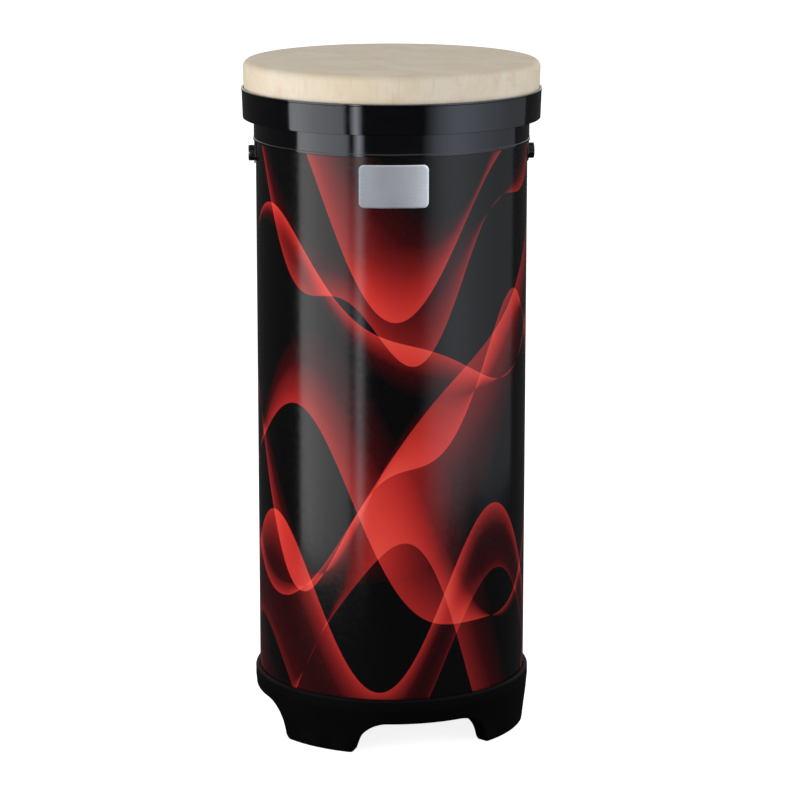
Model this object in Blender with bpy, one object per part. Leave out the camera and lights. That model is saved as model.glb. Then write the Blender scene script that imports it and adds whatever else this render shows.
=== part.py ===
# Tubano: a tall tubular drum that stands on a moulded foot ring with four arches.
# The head unit (rim, skin and band) lifts off a collar, which two slotted knobs hold on the shell.
# Frame: origin on the floor in the middle of the feet, +Z up, the plate on the -Y side.
# An azimuth is an angle from -Y, the front, towards +X.

import math

import bmesh
import bpy
from mathutils import Matrix, Vector

# General
TOTAL_HEIGHT = 0.584          # floor to playing surface, 23 in
FIT_GAP = 0.0003              # glue line or touching clearance between two pieces
RING_SEGMENTS = 52            # facets round a turned piece
PORT_SEGMENTS = 32            # facets round the port tube
SMALL_SEGMENTS = 20           # facets round a screw or a hole
FILLET_STEPS = 3              # facets in a rounded corner
CUT_OVERSHOOT = 0.002         # how far a cutter reaches past the wall that it cuts

# Shell and its printed film
SHELL_RADIUS = 0.1158         # outside of the bare tube
SHELL_WALL = 0.0050
SHELL_BELOW_SKIN = 0.032      # the shell's top edge stops this far under the playing surface
SHELL_EDGE_BEVEL = 0.0015
FILM_THICKNESS = 0.0004

# Foot ring
LIP_HEIGHT = 0.0497           # crest of the lip above the floor
LIP_WALL = 0.0042             # rubber outside the shell
LIP_ROUND = 0.0022
GROOVE_DEPTH = 0.0024         # dark groove between the lip and the film
GROOVE_CLEARANCE = 0.00035
SHELL_SEAT_HEIGHT = 0.035     # channel floor that the shell stands on
BULGE_HEIGHT = 0.040          # the outside tapers in below this height
FOOT_TAPER = 0.0037           # how far in the outside comes at the floor
FOOT_WIDTH = 0.0122           # radial width of the sole
FOOT_EDGE_ROUND = 0.0028
SOLE_INNER_ROUND = 0.0020
INNER_WALL = 0.0042
INNER_WALL_HEIGHT = 0.058     # top of the wall inside the shell, which carries the baffle
SHOULDER_RISE = 0.006         # slope between the sole's inner side and the inner wall
INNER_WALL_BEVEL = 0.0010
ARCH_AZIMUTH = 14.2           # degrees, centre of the front arch
FRONT_ARCH_HEIGHT = 0.0275
FRONT_ARCH_HALF_WIDTH = 0.0650   # along the outside, where the side would meet the floor
FRONT_ARCH_LEAN = 21.3        # degrees, the sides' lean from upright
FRONT_ARCH_ROUND = 0.0305
SIDE_ARCH_HEIGHT = 0.0305
SIDE_ARCH_HALF_WIDTH = 0.0650
SIDE_ARCH_LEAN = 12.5
SIDE_ARCH_ROUND = 0.0275
FOOT_LENGTH = 0.0720          # along the outside, between two arches; the back arch takes what is left
ARCH_FOOT_ROUND = 0.0044
ARCH_STEPS = 4                # facets in an arch's rounded corner

# Tone port inside the shell
BAFFLE_THICKNESS = 0.006
PORT_BORE_RADIUS = 0.030
PORT_WALL = 0.0025
PORT_LENGTH = 0.125           # from the baffle's underside to the mouth
PORT_FLANGE_WIDTH = 0.012
PORT_FLANGE_THICKNESS = 0.003
PORT_SCREW_COUNT = 4
PORT_SCREW_RADIUS = 0.0016
PORT_SCREW_HEAD_RADIUS = 0.0034
PORT_SCREW_HEAD_HEIGHT = 0.0022
PORT_SCREW_DEPTH = 0.0045     # into the baffle
PORT_MOUTH_ROUND = 0.0010
PORT_ROOT_ROUND = 0.0020

# Collar on the shell's top
COLLAR_SHOWING = 0.0192       # height of the lower black band
COLLAR_WALL = 0.0013
COLLAR_ROLL = 0.0007          # how far the bottom edge rolls out
COLLAR_ROLL_HEIGHT = 0.0022
COLLAR_ROLL_ROUND = 0.0006
COLLAR_FLANGE_THICKNESS = 0.0015
COLLAR_FLANGE_RISE = 0.0015   # flange above the upper band's bottom edge
COLLAR_UPSTAND = 0.010        # sleeve above the flange, inside the head unit
SEAT_THICKNESS = 0.0020
SEAT_LIP_WALL = 0.0008        # centres the rim on the collar's sleeve
SEAT_LIP_HEIGHT = 0.006

# Tabs, knobs and tee nuts
LOCK_AZIMUTHS = {"left": -86.3, "right": 93.7}
LOCK_SLOT_TURNS = {"left": 0.0, "right": 62.0}   # degrees, each slot's lean from level
LOCK_DROP = 0.0114            # screw axis below the collar's bottom edge
TAB_WIDTH = 0.018
TAB_THICKNESS = 0.0009
TAB_ROOT = 0.006              # how far the tab reaches up inside the collar's wall
KNOB_RADIUS = 0.00675
KNOB_THICKNESS = 0.0046
KNOB_FLUTES = 14
KNOB_FLUTE_DEPTH = 0.00035
KNOB_EDGE_ROUND = 0.0007
KNOB_SLOT_WIDTH = 0.0020
KNOB_SLOT_DEPTH = 0.0014
SCREW_RADIUS = 0.0025
SCREW_GRIP = 0.0026           # how deep the knob holds the shank
SCREW_LENGTH = 0.0165
SCREW_CLEARANCE = 0.0003
SCREW_END_ROUND = 0.0006
NUT_WALL = 0.0010
NUT_FLANGE_RADIUS = 0.0085
NUT_FLANGE_THICKNESS = 0.0012
NUT_SETBACK = 0.0008          # barrel end below the shell's outside

# Head unit
HEAD_TAPER = 0.0340           # side's slope inwards going down
HEAD_EDGE_ROUND = 0.0060
SKIN_THICKNESS = 0.0008
RIM_WALL = 0.0052
RIM_TOP_SLOPE = 0.0004        # the rim's top falls inwards, so the skin rests on its outer edge
HEAD_SHOWING = 0.0234         # skin above the band's top
BAND_HEIGHT = 0.0257
BAND_WALL = 0.0012
BAND_GAP = 0.0006             # dark line between the skin and the band
BAND_LIP = 0.0004             # how far the top lip stands out
BAND_LIP_HEIGHT = 0.0016
BAND_LIP_ROUND = 0.0005
BAND_EDGE_ROUND = 0.0004
FLANGE_CLEARANCE = 0.0006

# Plate on the front
PLATE_WIDTH = 0.0585
PLATE_HEIGHT = 0.0360
PLATE_CORNER = 0.0045
PLATE_THICKNESS = 0.0008
PLATE_DROP = 0.0063           # top edge below the collar's bottom edge
PLATE_AZIMUTH = 0.9
PAD_THICKNESS = 0.0004
PAD_INSET = 0.0015

# Places that follow from the sizes
shellInside = SHELL_RADIUS - SHELL_WALL
shellTop = TOTAL_HEIGHT - SHELL_BELOW_SKIN
filmInside = SHELL_RADIUS + FIT_GAP
filmOutside = filmInside + FILM_THICKNESS
footBulge = SHELL_RADIUS + FIT_GAP + LIP_WALL
sideArchPlace = FRONT_ARCH_HALF_WIDTH + FOOT_LENGTH + SIDE_ARCH_HALF_WIDTH
backArchHalfWidth = math.pi * footBulge - sideArchPlace - SIDE_ARCH_HALF_WIDTH - FOOT_LENGTH
bandTop = TOTAL_HEIGHT - HEAD_SHOWING
bandBottom = bandTop - BAND_HEIGHT
collarBottom = bandBottom - COLLAR_SHOWING
collarInside = filmOutside + FIT_GAP
collarOutside = collarInside + COLLAR_WALL
flangeBottom = bandBottom + COLLAR_FLANGE_RISE
flangeTop = flangeBottom + COLLAR_FLANGE_THICKNESS
collarTop = flangeTop + COLLAR_UPSTAND
seatBottom = flangeTop + FIT_GAP
seatTop = seatBottom + SEAT_THICKNESS
rimBottom = seatTop + FIT_GAP
rimInside = collarOutside + FIT_GAP + SEAT_LIP_WALL + FIT_GAP
skinAtRimBottom = rimInside + RIM_WALL + FIT_GAP + SKIN_THICKNESS
lockHeight = collarBottom - LOCK_DROP
tabInside = collarInside + (COLLAR_WALL - TAB_THICKNESS) / 3
tabOutside = tabInside + TAB_THICKNESS
baffleBottom = INNER_WALL_HEIGHT + FIT_GAP
baffleTop = baffleBottom + BAFFLE_THICKNESS
portOutside = PORT_BORE_RADIUS + PORT_WALL
portFlangeBottom = baffleTop + FIT_GAP
portFlangeTop = portFlangeBottom + PORT_FLANGE_THICKNESS
portFlangeRadius = portOutside + PORT_FLANGE_WIDTH
portScrewCircle = portOutside + PORT_FLANGE_WIDTH / 2 + PORT_ROOT_ROUND / 2


def skinOutside(height):
    # Radius of the skin's tapered side at a height
    return skinAtRimBottom + HEAD_TAPER * (height - rimBottom)


def makeMaterial(name, colour, roughness, metallic=0.0):
    material = bpy.data.materials.new(name)
    material.use_nodes = True
    shader = material.node_tree.nodes["Principled BSDF"]
    shader.inputs["Base Color"].default_value = (*colour, 1.0)
    shader.inputs["Roughness"].default_value = roughness
    shader.inputs["Metallic"].default_value = metallic
    return material


def filleted(corners, steps):
    # Outline points of a closed profile whose corners are (across, up, fillet radius)
    points = []
    for index, (across, up, radius) in enumerate(corners):
        corner = Vector((across, up))
        if radius <= 0:
            points.append(corner)
            continue
        back = (Vector(corners[index - 1][:2]) - corner).normalized()
        ahead = (Vector(corners[(index + 1) % len(corners)][:2]) - corner).normalized()
        half = back.angle(ahead) / 2
        turn = math.pi - 2 * half
        centre = corner + (back + ahead).normalized() * radius / math.sin(half)
        start = corner + back * radius / math.tan(half) - centre
        end = corner + ahead * radius / math.tan(half) - centre
        for step in range(steps + 1):
            share = step / steps
            swing = start * math.sin((1 - share) * turn) + end * math.sin(share * turn)
            points.append(centre + swing / math.sin(turn))
    return points


def finishMesh(name, bm, material, place=None):
    # One smooth-shaded object from a bmesh, with its faces outwards
    bmesh.ops.remove_doubles(bm, verts=bm.verts, dist=1e-7)
    bmesh.ops.recalc_face_normals(bm, faces=bm.faces)
    mesh = bpy.data.meshes.new(name)
    bm.to_mesh(mesh)
    bm.free()
    mesh.materials.append(material)
    mesh.shade_smooth()
    mesh.set_sharp_from_angle(angle=math.radians(32))
    piece = bpy.data.objects.new(name, mesh)
    bpy.context.collection.objects.link(piece)
    if place is not None:
        piece.matrix_world = place
    return piece


def turned(name, corners, material, segments=RING_SEGMENTS, onAxis=False, place=None, steps=FILLET_STEPS):
    # A profile turned about Z; onAxis says that its first and last points lie on the axis
    bm = bmesh.new()
    verts = [bm.verts.new((point.x, 0.0, point.y)) for point in filleted(corners, steps)]
    edges = [bm.edges.new(pair) for pair in zip(verts, verts[1:])]
    if not onAxis:
        edges.append(bm.edges.new((verts[-1], verts[0])))
    bmesh.ops.spin(
        bm, geom=verts + edges, cent=(0, 0, 0), axis=(0, 0, 1), dvec=(0, 0, 0),
        angle=2 * math.pi, steps=segments, use_merge=True)
    return finishMesh(name, bm, material, place)


def guide(piece):
    # A cutter or a shape that only feeds a Boolean
    piece.hide_render = True
    piece.display_type = 'WIRE'
    return piece


def combine(target, tool, operation):
    modifier = target.modifiers.new(tool.name, 'BOOLEAN')
    modifier.operation = operation
    modifier.solver = 'EXACT'
    modifier.object = tool


def radialPlace(azimuth, radius, height, roll=0.0):
    # Local +Z points outwards along the azimuth, local +Y points up before the roll
    angle = math.radians(azimuth)
    outward = Vector((math.sin(angle), -math.cos(angle), 0.0))
    up = Vector((0.0, 0.0, 1.0))
    side = up.cross(outward)
    turn = Matrix((side, up, outward)).transposed().to_4x4()
    rolled = turn @ Matrix.Rotation(math.radians(roll), 4, 'Z')
    return Matrix.Translation(outward * radius + up * height) @ rolled


def curvedPlate(name, columns, inside, outside, azimuth, material):
    # A plate bent to the shell; a column is (distance along, lowest height, highest height)
    bm = bmesh.new()
    stations = []
    for along, low, high in columns:
        ring = []
        for radius, height in ((inside, low), (outside, low), (outside, high), (inside, high)):
            angle = math.radians(azimuth) + along / outside
            ring.append(bm.verts.new((radius * math.sin(angle), -radius * math.cos(angle), height)))
        stations.append(ring)
    for before, after in zip(stations, stations[1:]):
        for corner in range(4):
            following = (corner + 1) % 4
            bm.faces.new((before[corner], before[following], after[following], after[corner]))
    bm.faces.new(stations[0])
    bm.faces.new(reversed(stations[-1]))
    return finishMesh(name, bm, material)


def roundedColumns(width, low, high, cornerLow, cornerHigh, middleSteps, cornerSteps=4):
    # Columns of a rectangle with rounded corners, for curvedPlate
    def lift(along, corner):
        past = max(0.0, abs(along) - (width / 2 - corner))
        return corner - math.sqrt(max(0.0, corner ** 2 - past ** 2))
    corner = max(cornerLow, cornerHigh)
    flat = width / 2 - corner
    ends = [flat + corner * math.sin(math.pi / 2 * step / cornerSteps) for step in range(1, cornerSteps + 1)]
    middle = [-flat + 2 * flat * step / middleSteps for step in range(middleSteps + 1)] if flat > 0 else [0.0]
    stations = [-end for end in reversed(ends)] + middle + ends
    return [(along, low + lift(along, cornerLow), high - lift(along, cornerHigh)) for along in stations]


def archProfile(height, halfWidth, lean, topRound):
    # One half of an arch from its centre to the middle of the foot beside it: (distance along, height)
    corners = [
        (0.0, height, 0.0),
        (halfWidth - height * math.tan(math.radians(lean)), height, topRound),
        (halfWidth, 0.0, ARCH_FOOT_ROUND),
        (halfWidth + FOOT_LENGTH / 2, 0.0, 0.0),
    ]
    outline = filleted(corners, ARCH_STEPS)
    longest = 2 * math.pi * footBulge / RING_SEGMENTS
    points = []
    for before, after in zip(outline, outline[1:]):
        count = max(1, math.ceil((after - before).length / longest))
        points += [before.lerp(after, step / count) for step in range(count)]
    points.append(outline[-1])
    return [(point.x, point.y) for point in points]


def footSection(under):
    # Closed section of the foot ring where its underside is at the height given
    channelOutside = SHELL_RADIUS + FIT_GAP
    channelInside = shellInside - FIT_GAP
    wallInside = channelInside - INNER_WALL
    grooveRadius = filmOutside + GROOVE_CLEARANCE
    soleInside = footBulge - FOOT_TAPER - FOOT_WIDTH
    shoulder = SHELL_SEAT_HEIGHT + SHOULDER_RISE / 2
    outerAtUnder = footBulge - FOOT_TAPER * (1 - under / BULGE_HEIGHT)
    lower = [(outerAtUnder, under, FOOT_EDGE_ROUND), (footBulge, BULGE_HEIGHT, 0.0)]
    lip = [
        (footBulge, LIP_HEIGHT, LIP_ROUND),
        (grooveRadius, LIP_HEIGHT, 0.0),
        (grooveRadius, LIP_HEIGHT - GROOVE_DEPTH, 0.0),
        (channelOutside, LIP_HEIGHT - GROOVE_DEPTH - GROOVE_CLEARANCE, 0.0),
    ]
    channel = [(channelOutside, SHELL_SEAT_HEIGHT, 0.0), (channelInside, SHELL_SEAT_HEIGHT, 0.0)]
    inner = [
        (channelInside, INNER_WALL_HEIGHT - INNER_WALL_BEVEL, 0.0),
        (channelInside - INNER_WALL_BEVEL, INNER_WALL_HEIGHT, 0.0),
        (wallInside, INNER_WALL_HEIGHT, 0.0),
        (wallInside, shoulder + SHOULDER_RISE / 2, 0.0),
        (soleInside, shoulder - SHOULDER_RISE / 2, 0.0),
        (soleInside, under, SOLE_INNER_ROUND),
    ]
    return filleted(lower + lip + channel + inner, 2)


def makeFootRing(material):
    # Sections set round the axis, each cut off below by the four arches, joined by quads
    front = archProfile(FRONT_ARCH_HEIGHT, FRONT_ARCH_HALF_WIDTH, FRONT_ARCH_LEAN, FRONT_ARCH_ROUND)
    side = archProfile(SIDE_ARCH_HEIGHT, SIDE_ARCH_HALF_WIDTH, SIDE_ARCH_LEAN, SIDE_ARCH_ROUND)
    back = archProfile(FRONT_ARCH_HEIGHT, backArchHalfWidth, FRONT_ARCH_LEAN, FRONT_ARCH_ROUND)
    halfWay = math.pi * footBulge
    arches = ((0.0, front), (sideArchPlace, side), (halfWay, back), (2 * halfWay - sideArchPlace, side))
    stations = []
    for centre, half in arches:
        stations += [(centre - along, under) for along, under in reversed(half[1:-1])]
        stations += [(centre + along, under) for along, under in half]
    bm = bmesh.new()
    rings = []
    for along, under in stations:
        azimuth = math.radians(ARCH_AZIMUTH) + along / footBulge
        section = footSection(under)
        rings.append([
            bm.verts.new((point.x * math.sin(azimuth), -point.x * math.cos(azimuth), point.y))
            for point in section])
    for index, ring in enumerate(rings):
        after = rings[(index + 1) % len(rings)]
        for corner in range(len(ring)):
            following = (corner + 1) % len(ring)
            bm.faces.new((ring[corner], ring[following], after[following], after[corner]))
    return finishMesh("foot_ring", bm, material)


def radialHole(name, azimuth, radius, start, end, height, material):
    # Cylinder along an azimuth that cuts a hole from one radius to another
    corners = [(0.0, start, 0.0), (radius, start, 0.0), (radius, end, 0.0), (0.0, end, 0.0)]
    place = radialPlace(azimuth, 0.0, height)
    return guide(turned(name, corners, material, SMALL_SEGMENTS, True, place))


def makeShell(fibre, film, cutterMaterial):
    shell = turned("shell", [
        (shellInside, SHELL_SEAT_HEIGHT + FIT_GAP, 0.0),
        (SHELL_RADIUS, SHELL_SEAT_HEIGHT + FIT_GAP, 0.0),
        (SHELL_RADIUS, shellTop - SHELL_EDGE_BEVEL, 0.0),
        (SHELL_RADIUS - SHELL_EDGE_BEVEL, shellTop, 0.0),
        (shellInside + SHELL_EDGE_BEVEL, shellTop, 0.0),
        (shellInside, shellTop - SHELL_EDGE_BEVEL, 0.0),
    ], fibre)
    printFilm = turned("print_film", [
        (filmInside, LIP_HEIGHT - GROOVE_DEPTH + FIT_GAP, 0.0),
        (filmOutside, LIP_HEIGHT - GROOVE_DEPTH + FIT_GAP, 0.0),
        (filmOutside, collarTop, 0.0),
        (filmInside, collarTop, 0.0),
    ], film)
    for side, azimuth in LOCK_AZIMUTHS.items():
        barrel = SCREW_RADIUS + SCREW_CLEARANCE + NUT_WALL + FIT_GAP
        hole = radialHole(f"nut_hole_{side}", azimuth, barrel, shellInside - 2 * CUT_OVERSHOOT,
                          filmInside - FIT_GAP / 2, lockHeight, cutterMaterial)
        combine(shell, hole, 'DIFFERENCE')
        filmHole = radialHole(f"film_hole_{side}", azimuth, SCREW_RADIUS + SCREW_CLEARANCE,
                              SHELL_RADIUS - CUT_OVERSHOOT, filmOutside + CUT_OVERSHOOT, lockHeight,
                              cutterMaterial)
        combine(printFilm, filmHole, 'DIFFERENCE')


def makePort(board, plastic, steel, cutterMaterial):
    baffle = turned("port_baffle", [
        (portOutside + FIT_GAP, baffleBottom, 0.0),
        (shellInside - FIT_GAP, baffleBottom, 0.0),
        (shellInside - FIT_GAP, baffleTop, 0.0),
        (portOutside + FIT_GAP, baffleTop, 0.0),
    ], board)
    tube = turned("port_tube", [
        (PORT_BORE_RADIUS, baffleBottom, 0.0),
        (portOutside, baffleBottom, 0.0),
        (portOutside, portFlangeBottom, 0.0),
        (portFlangeRadius, portFlangeBottom, 0.0),
        (portFlangeRadius, portFlangeTop, PORT_MOUTH_ROUND),
        (portOutside, portFlangeTop, PORT_ROOT_ROUND),
        (portOutside, baffleBottom + PORT_LENGTH, PORT_MOUTH_ROUND),
        (PORT_BORE_RADIUS, baffleBottom + PORT_LENGTH, PORT_MOUTH_ROUND),
    ], plastic, PORT_SEGMENTS, steps=1)
    shankEnd = baffleTop - PORT_SCREW_DEPTH
    headSeat = portFlangeTop + FIT_GAP
    for index in range(PORT_SCREW_COUNT):
        angle = 2 * math.pi * (index + 0.5) / PORT_SCREW_COUNT
        across = portScrewCircle * math.cos(angle)
        place = Matrix.Translation((across, portScrewCircle * math.sin(angle), 0.0))
        clearance = PORT_SCREW_RADIUS + FIT_GAP
        hole = guide(turned(f"port_hole_{index + 1}", [
            (0.0, shankEnd - FIT_GAP, 0.0),
            (clearance, shankEnd - FIT_GAP, 0.0),
            (clearance, portFlangeTop + CUT_OVERSHOOT, 0.0),
            (0.0, portFlangeTop + CUT_OVERSHOOT, 0.0),
        ], cutterMaterial, 12, True, place))
        combine(baffle, hole, 'DIFFERENCE')
        combine(tube, hole, 'DIFFERENCE')
        turned(f"port_screw_{index + 1}", [
            (0.0, shankEnd, 0.0),
            (PORT_SCREW_RADIUS, shankEnd + PORT_SCREW_RADIUS, 0.0),
            (PORT_SCREW_RADIUS, headSeat, 0.0),
            (PORT_SCREW_HEAD_RADIUS, headSeat, 0.0),
            (PORT_SCREW_HEAD_RADIUS, headSeat + PORT_SCREW_HEAD_HEIGHT / 2, 0.0),
            (PORT_SCREW_RADIUS, headSeat + PORT_SCREW_HEAD_HEIGHT, 0.0),
            (0.0, headSeat + PORT_SCREW_HEAD_HEIGHT, 0.0),
        ], steel, 12, True, place)


def makeCollar(plastic, rubber, cutterMaterial):
    flangeRadius = skinOutside(bandBottom) + BAND_GAP - FLANGE_CLEARANCE
    rollOutside = collarOutside + COLLAR_ROLL
    collar = turned("collar", [
        (collarInside, collarBottom, 0.0),
        (rollOutside, collarBottom, COLLAR_ROLL_ROUND),
        (rollOutside, collarBottom + COLLAR_ROLL_HEIGHT - COLLAR_ROLL, 0.0),
        (collarOutside, collarBottom + COLLAR_ROLL_HEIGHT, 0.0),
        (collarOutside, flangeBottom, 0.0),
        (flangeRadius, flangeBottom, 0.0),
        (flangeRadius, flangeTop, 0.0),
        (collarOutside, flangeTop, 0.0),
        (collarOutside, collarTop, 0.0),
        (collarInside, collarTop, 0.0),
    ], plastic, steps=2)
    turned("seat_ring", [
        (collarOutside + FIT_GAP, seatBottom, 0.0),
        (flangeRadius - FLANGE_CLEARANCE, seatBottom, 0.0),
        (flangeRadius - FLANGE_CLEARANCE, seatTop, 0.0),
        (collarOutside + FIT_GAP + SEAT_LIP_WALL, seatTop, 0.0),
        (collarOutside + FIT_GAP + SEAT_LIP_WALL, seatBottom + SEAT_LIP_HEIGHT, 0.0),
        (collarOutside + FIT_GAP, seatBottom + SEAT_LIP_HEIGHT, 0.0),
    ], rubber)
    for side, azimuth in LOCK_AZIMUTHS.items():
        half = TAB_WIDTH / 2
        columns = roundedColumns(TAB_WIDTH, lockHeight - half, collarBottom + TAB_ROOT, half, 0.0, 1, 5)
        tab = guide(curvedPlate(f"collar_tab_{side}", columns, tabInside, tabOutside, azimuth, plastic))
        combine(collar, tab, 'UNION')
        hole = radialHole(f"tab_hole_{side}", azimuth, SCREW_RADIUS + SCREW_CLEARANCE,
                          collarInside - CUT_OVERSHOOT, collarOutside + CUT_OVERSHOOT, lockHeight,
                          cutterMaterial)
        combine(collar, hole, 'DIFFERENCE')


def knobBlank(name, base, thickness, material):
    # Round knob with shallow flutes round its edge and a rounded outer corner
    bm = bmesh.new()
    count = KNOB_FLUTES * 4
    chamfer = KNOB_EDGE_ROUND * (1 - math.sqrt(0.5))
    levels = [
        (base, 0.0),
        (base + thickness - KNOB_EDGE_ROUND, 0.0),
        (base + thickness - chamfer, chamfer),
        (base + thickness, KNOB_EDGE_ROUND),
    ]
    rings = []
    for height, inset in levels:
        ring = []
        for step in range(count):
            angle = 2 * math.pi * step / count
            flute = KNOB_FLUTE_DEPTH * (1 - math.cos(KNOB_FLUTES * angle)) / 2
            radius = KNOB_RADIUS - flute - inset
            ring.append(bm.verts.new((radius * math.cos(angle), radius * math.sin(angle), height)))
        rings.append(ring)
    for lower, upper in zip(rings, rings[1:]):
        for step in range(count):
            following = (step + 1) % count
            bm.faces.new((lower[step], lower[following], upper[following], upper[step]))
    bm.faces.new(list(reversed(rings[0])))
    bm.faces.new(rings[-1])
    return finishMesh(name, bm, material)


def makeLocks(plastic, steel, cutterMaterial):
    knobBase = tabOutside + FIT_GAP
    shankOutside = knobBase + SCREW_GRIP
    flangeOutside = math.sqrt(shellInside ** 2 - NUT_FLANGE_RADIUS ** 2) - FIT_GAP
    for side, azimuth in LOCK_AZIMUTHS.items():
        axis = bpy.data.objects.new(f"lock_axis_{side}", None)
        axis.matrix_world = radialPlace(azimuth, 0.0, lockHeight, LOCK_SLOT_TURNS[side])
        axis.empty_display_size = 0.02
        bpy.context.collection.objects.link(axis)
        knob = knobBlank(f"knob_{side}", knobBase, KNOB_THICKNESS, plastic)
        knob.parent = axis
        knobTop = knobBase + KNOB_THICKNESS
        socket = guide(turned(f"knob_socket_{side}", [
            (0.0, knobBase - CUT_OVERSHOOT, 0.0),
            (SCREW_RADIUS + SCREW_CLEARANCE, knobBase - CUT_OVERSHOOT, 0.0),
            (SCREW_RADIUS + SCREW_CLEARANCE, shankOutside + FIT_GAP, 0.0),
            (0.0, shankOutside + FIT_GAP, 0.0),
        ], cutterMaterial, SMALL_SEGMENTS, True))
        socket.parent = axis
        combine(knob, socket, 'DIFFERENCE')
        bm = bmesh.new()
        slotSize = Matrix.Diagonal((KNOB_RADIUS * 3, KNOB_SLOT_WIDTH, KNOB_SLOT_DEPTH * 2, 1.0))
        bmesh.ops.create_cube(bm, size=1.0, matrix=Matrix.Translation((0.0, 0.0, knobTop)) @ slotSize)
        slot = guide(finishMesh(f"knob_slot_{side}", bm, cutterMaterial))
        slot.parent = axis
        combine(knob, slot, 'DIFFERENCE')
        screw = turned(f"lock_screw_{side}", [
            (0.0, shankOutside - SCREW_LENGTH, 0.0),
            (SCREW_RADIUS, shankOutside - SCREW_LENGTH, SCREW_END_ROUND),
            (SCREW_RADIUS, shankOutside, 0.0),
            (0.0, shankOutside, 0.0),
        ], steel, SMALL_SEGMENTS, True, steps=1)
        screw.parent = axis
        bore = SCREW_RADIUS + SCREW_CLEARANCE
        turned(f"tee_nut_{side}", [
            (bore, flangeOutside - NUT_FLANGE_THICKNESS, 0.0),
            (NUT_FLANGE_RADIUS, flangeOutside - NUT_FLANGE_THICKNESS, 0.0),
            (NUT_FLANGE_RADIUS, flangeOutside, 0.0),
            (bore + NUT_WALL, flangeOutside, 0.0),
            (bore + NUT_WALL, SHELL_RADIUS - NUT_SETBACK, 0.0),
            (bore, SHELL_RADIUS - NUT_SETBACK, 0.0),
        ], steel, SMALL_SEGMENTS, False, radialPlace(azimuth, 0.0, lockHeight))


def makeHead(wood, skinMaterial, plastic):
    liner = SKIN_THICKNESS + FIT_GAP
    skinUnder = TOTAL_HEIGHT - SKIN_THICKNESS
    turned("head_skin", [
        (0.0, TOTAL_HEIGHT, 0.0),
        (skinOutside(TOTAL_HEIGHT), TOTAL_HEIGHT, HEAD_EDGE_ROUND),
        (skinAtRimBottom, rimBottom, 0.0),
        (skinAtRimBottom - SKIN_THICKNESS, rimBottom, 0.0),
        (skinOutside(TOTAL_HEIGHT) - SKIN_THICKNESS, skinUnder, HEAD_EDGE_ROUND - SKIN_THICKNESS),
        (0.0, skinUnder, 0.0),
    ], skinMaterial, onAxis=True, steps=4)
    rimTop = TOTAL_HEIGHT - liner
    turned("head_rim", [
        (skinAtRimBottom - liner, rimBottom, 0.0),
        (skinOutside(rimTop) - liner, rimTop, HEAD_EDGE_ROUND - liner),
        (rimInside, rimTop - RIM_TOP_SLOPE, 0.0),
        (rimInside, rimBottom, 0.0),
    ], wood, steps=4)
    insideTop = skinOutside(bandTop) + BAND_GAP
    insideBottom = skinOutside(bandBottom) + BAND_GAP
    outsideTop = insideTop + BAND_WALL
    lipBottom = bandTop - BAND_LIP_HEIGHT
    turned("head_band", [
        (insideBottom, bandBottom, 0.0),
        (insideBottom + BAND_WALL, bandBottom, BAND_EDGE_ROUND),
        (insideTop + BAND_WALL - HEAD_TAPER * (BAND_LIP_HEIGHT + BAND_LIP), lipBottom - BAND_LIP, 0.0),
        (outsideTop + BAND_LIP, lipBottom, 0.0),
        (outsideTop + BAND_LIP, bandTop, BAND_LIP_ROUND),
        (insideTop, bandTop, 0.0),
    ], plastic, steps=2)


def makePlate(metal, foam):
    high = collarBottom - PLATE_DROP
    low = high - PLATE_HEIGHT
    padInside = filmOutside + FIT_GAP
    padOutside = padInside + PAD_THICKNESS
    plateInside = padOutside + FIT_GAP
    pad = roundedColumns(PLATE_WIDTH - 2 * PAD_INSET, low + PAD_INSET, high - PAD_INSET,
                         PLATE_CORNER - PAD_INSET, PLATE_CORNER - PAD_INSET, 8, 2)
    plate = roundedColumns(PLATE_WIDTH, low, high, PLATE_CORNER, PLATE_CORNER, 8)
    curvedPlate("badge_pad", pad, padInside, padOutside, PLATE_AZIMUTH, foam)
    curvedPlate("badge_plate", plate, plateInside, plateInside + PLATE_THICKNESS, PLATE_AZIMUTH, metal)


def main():
    for old in list(bpy.data.objects):
        bpy.data.objects.remove(old, do_unlink=True)
    cutterMaterial = makeMaterial("cutter", (0.8, 0.3, 0.1), 0.5)
    fibre = makeMaterial("shell_fibre", (0.30, 0.24, 0.18), 0.8)
    film = makeMaterial("printed_film", (0.34, 0.03, 0.03), 0.25)
    rubber = makeMaterial("foot_rubber", (0.012, 0.012, 0.013), 0.6)
    board = makeMaterial("baffle_board", (0.25, 0.19, 0.13), 0.8)
    gloss = makeMaterial("gloss_black", (0.010, 0.010, 0.012), 0.12)
    portPlastic = makeMaterial("port_plastic", (0.02, 0.02, 0.02), 0.5)
    steel = makeMaterial("zinc_steel", (0.62, 0.62, 0.60), 0.35, 1.0)
    skinMaterial = makeMaterial("drum_skin", (0.78, 0.68, 0.54), 0.6)
    wood = makeMaterial("rim_fibre", (0.42, 0.30, 0.18), 0.7)
    metal = makeMaterial("plate_metal", (0.60, 0.62, 0.65), 0.28, 1.0)
    foam = makeMaterial("pad_foam", (0.05, 0.05, 0.05), 0.9)
    makeFootRing(rubber)
    makeShell(fibre, film, cutterMaterial)
    makePort(board, portPlastic, steel, cutterMaterial)
    makeCollar(gloss, rubber, cutterMaterial)
    makeLocks(gloss, steel, cutterMaterial)
    makeHead(wood, skinMaterial, gloss)
    makePlate(metal, foam)


main()
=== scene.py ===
import math

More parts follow.
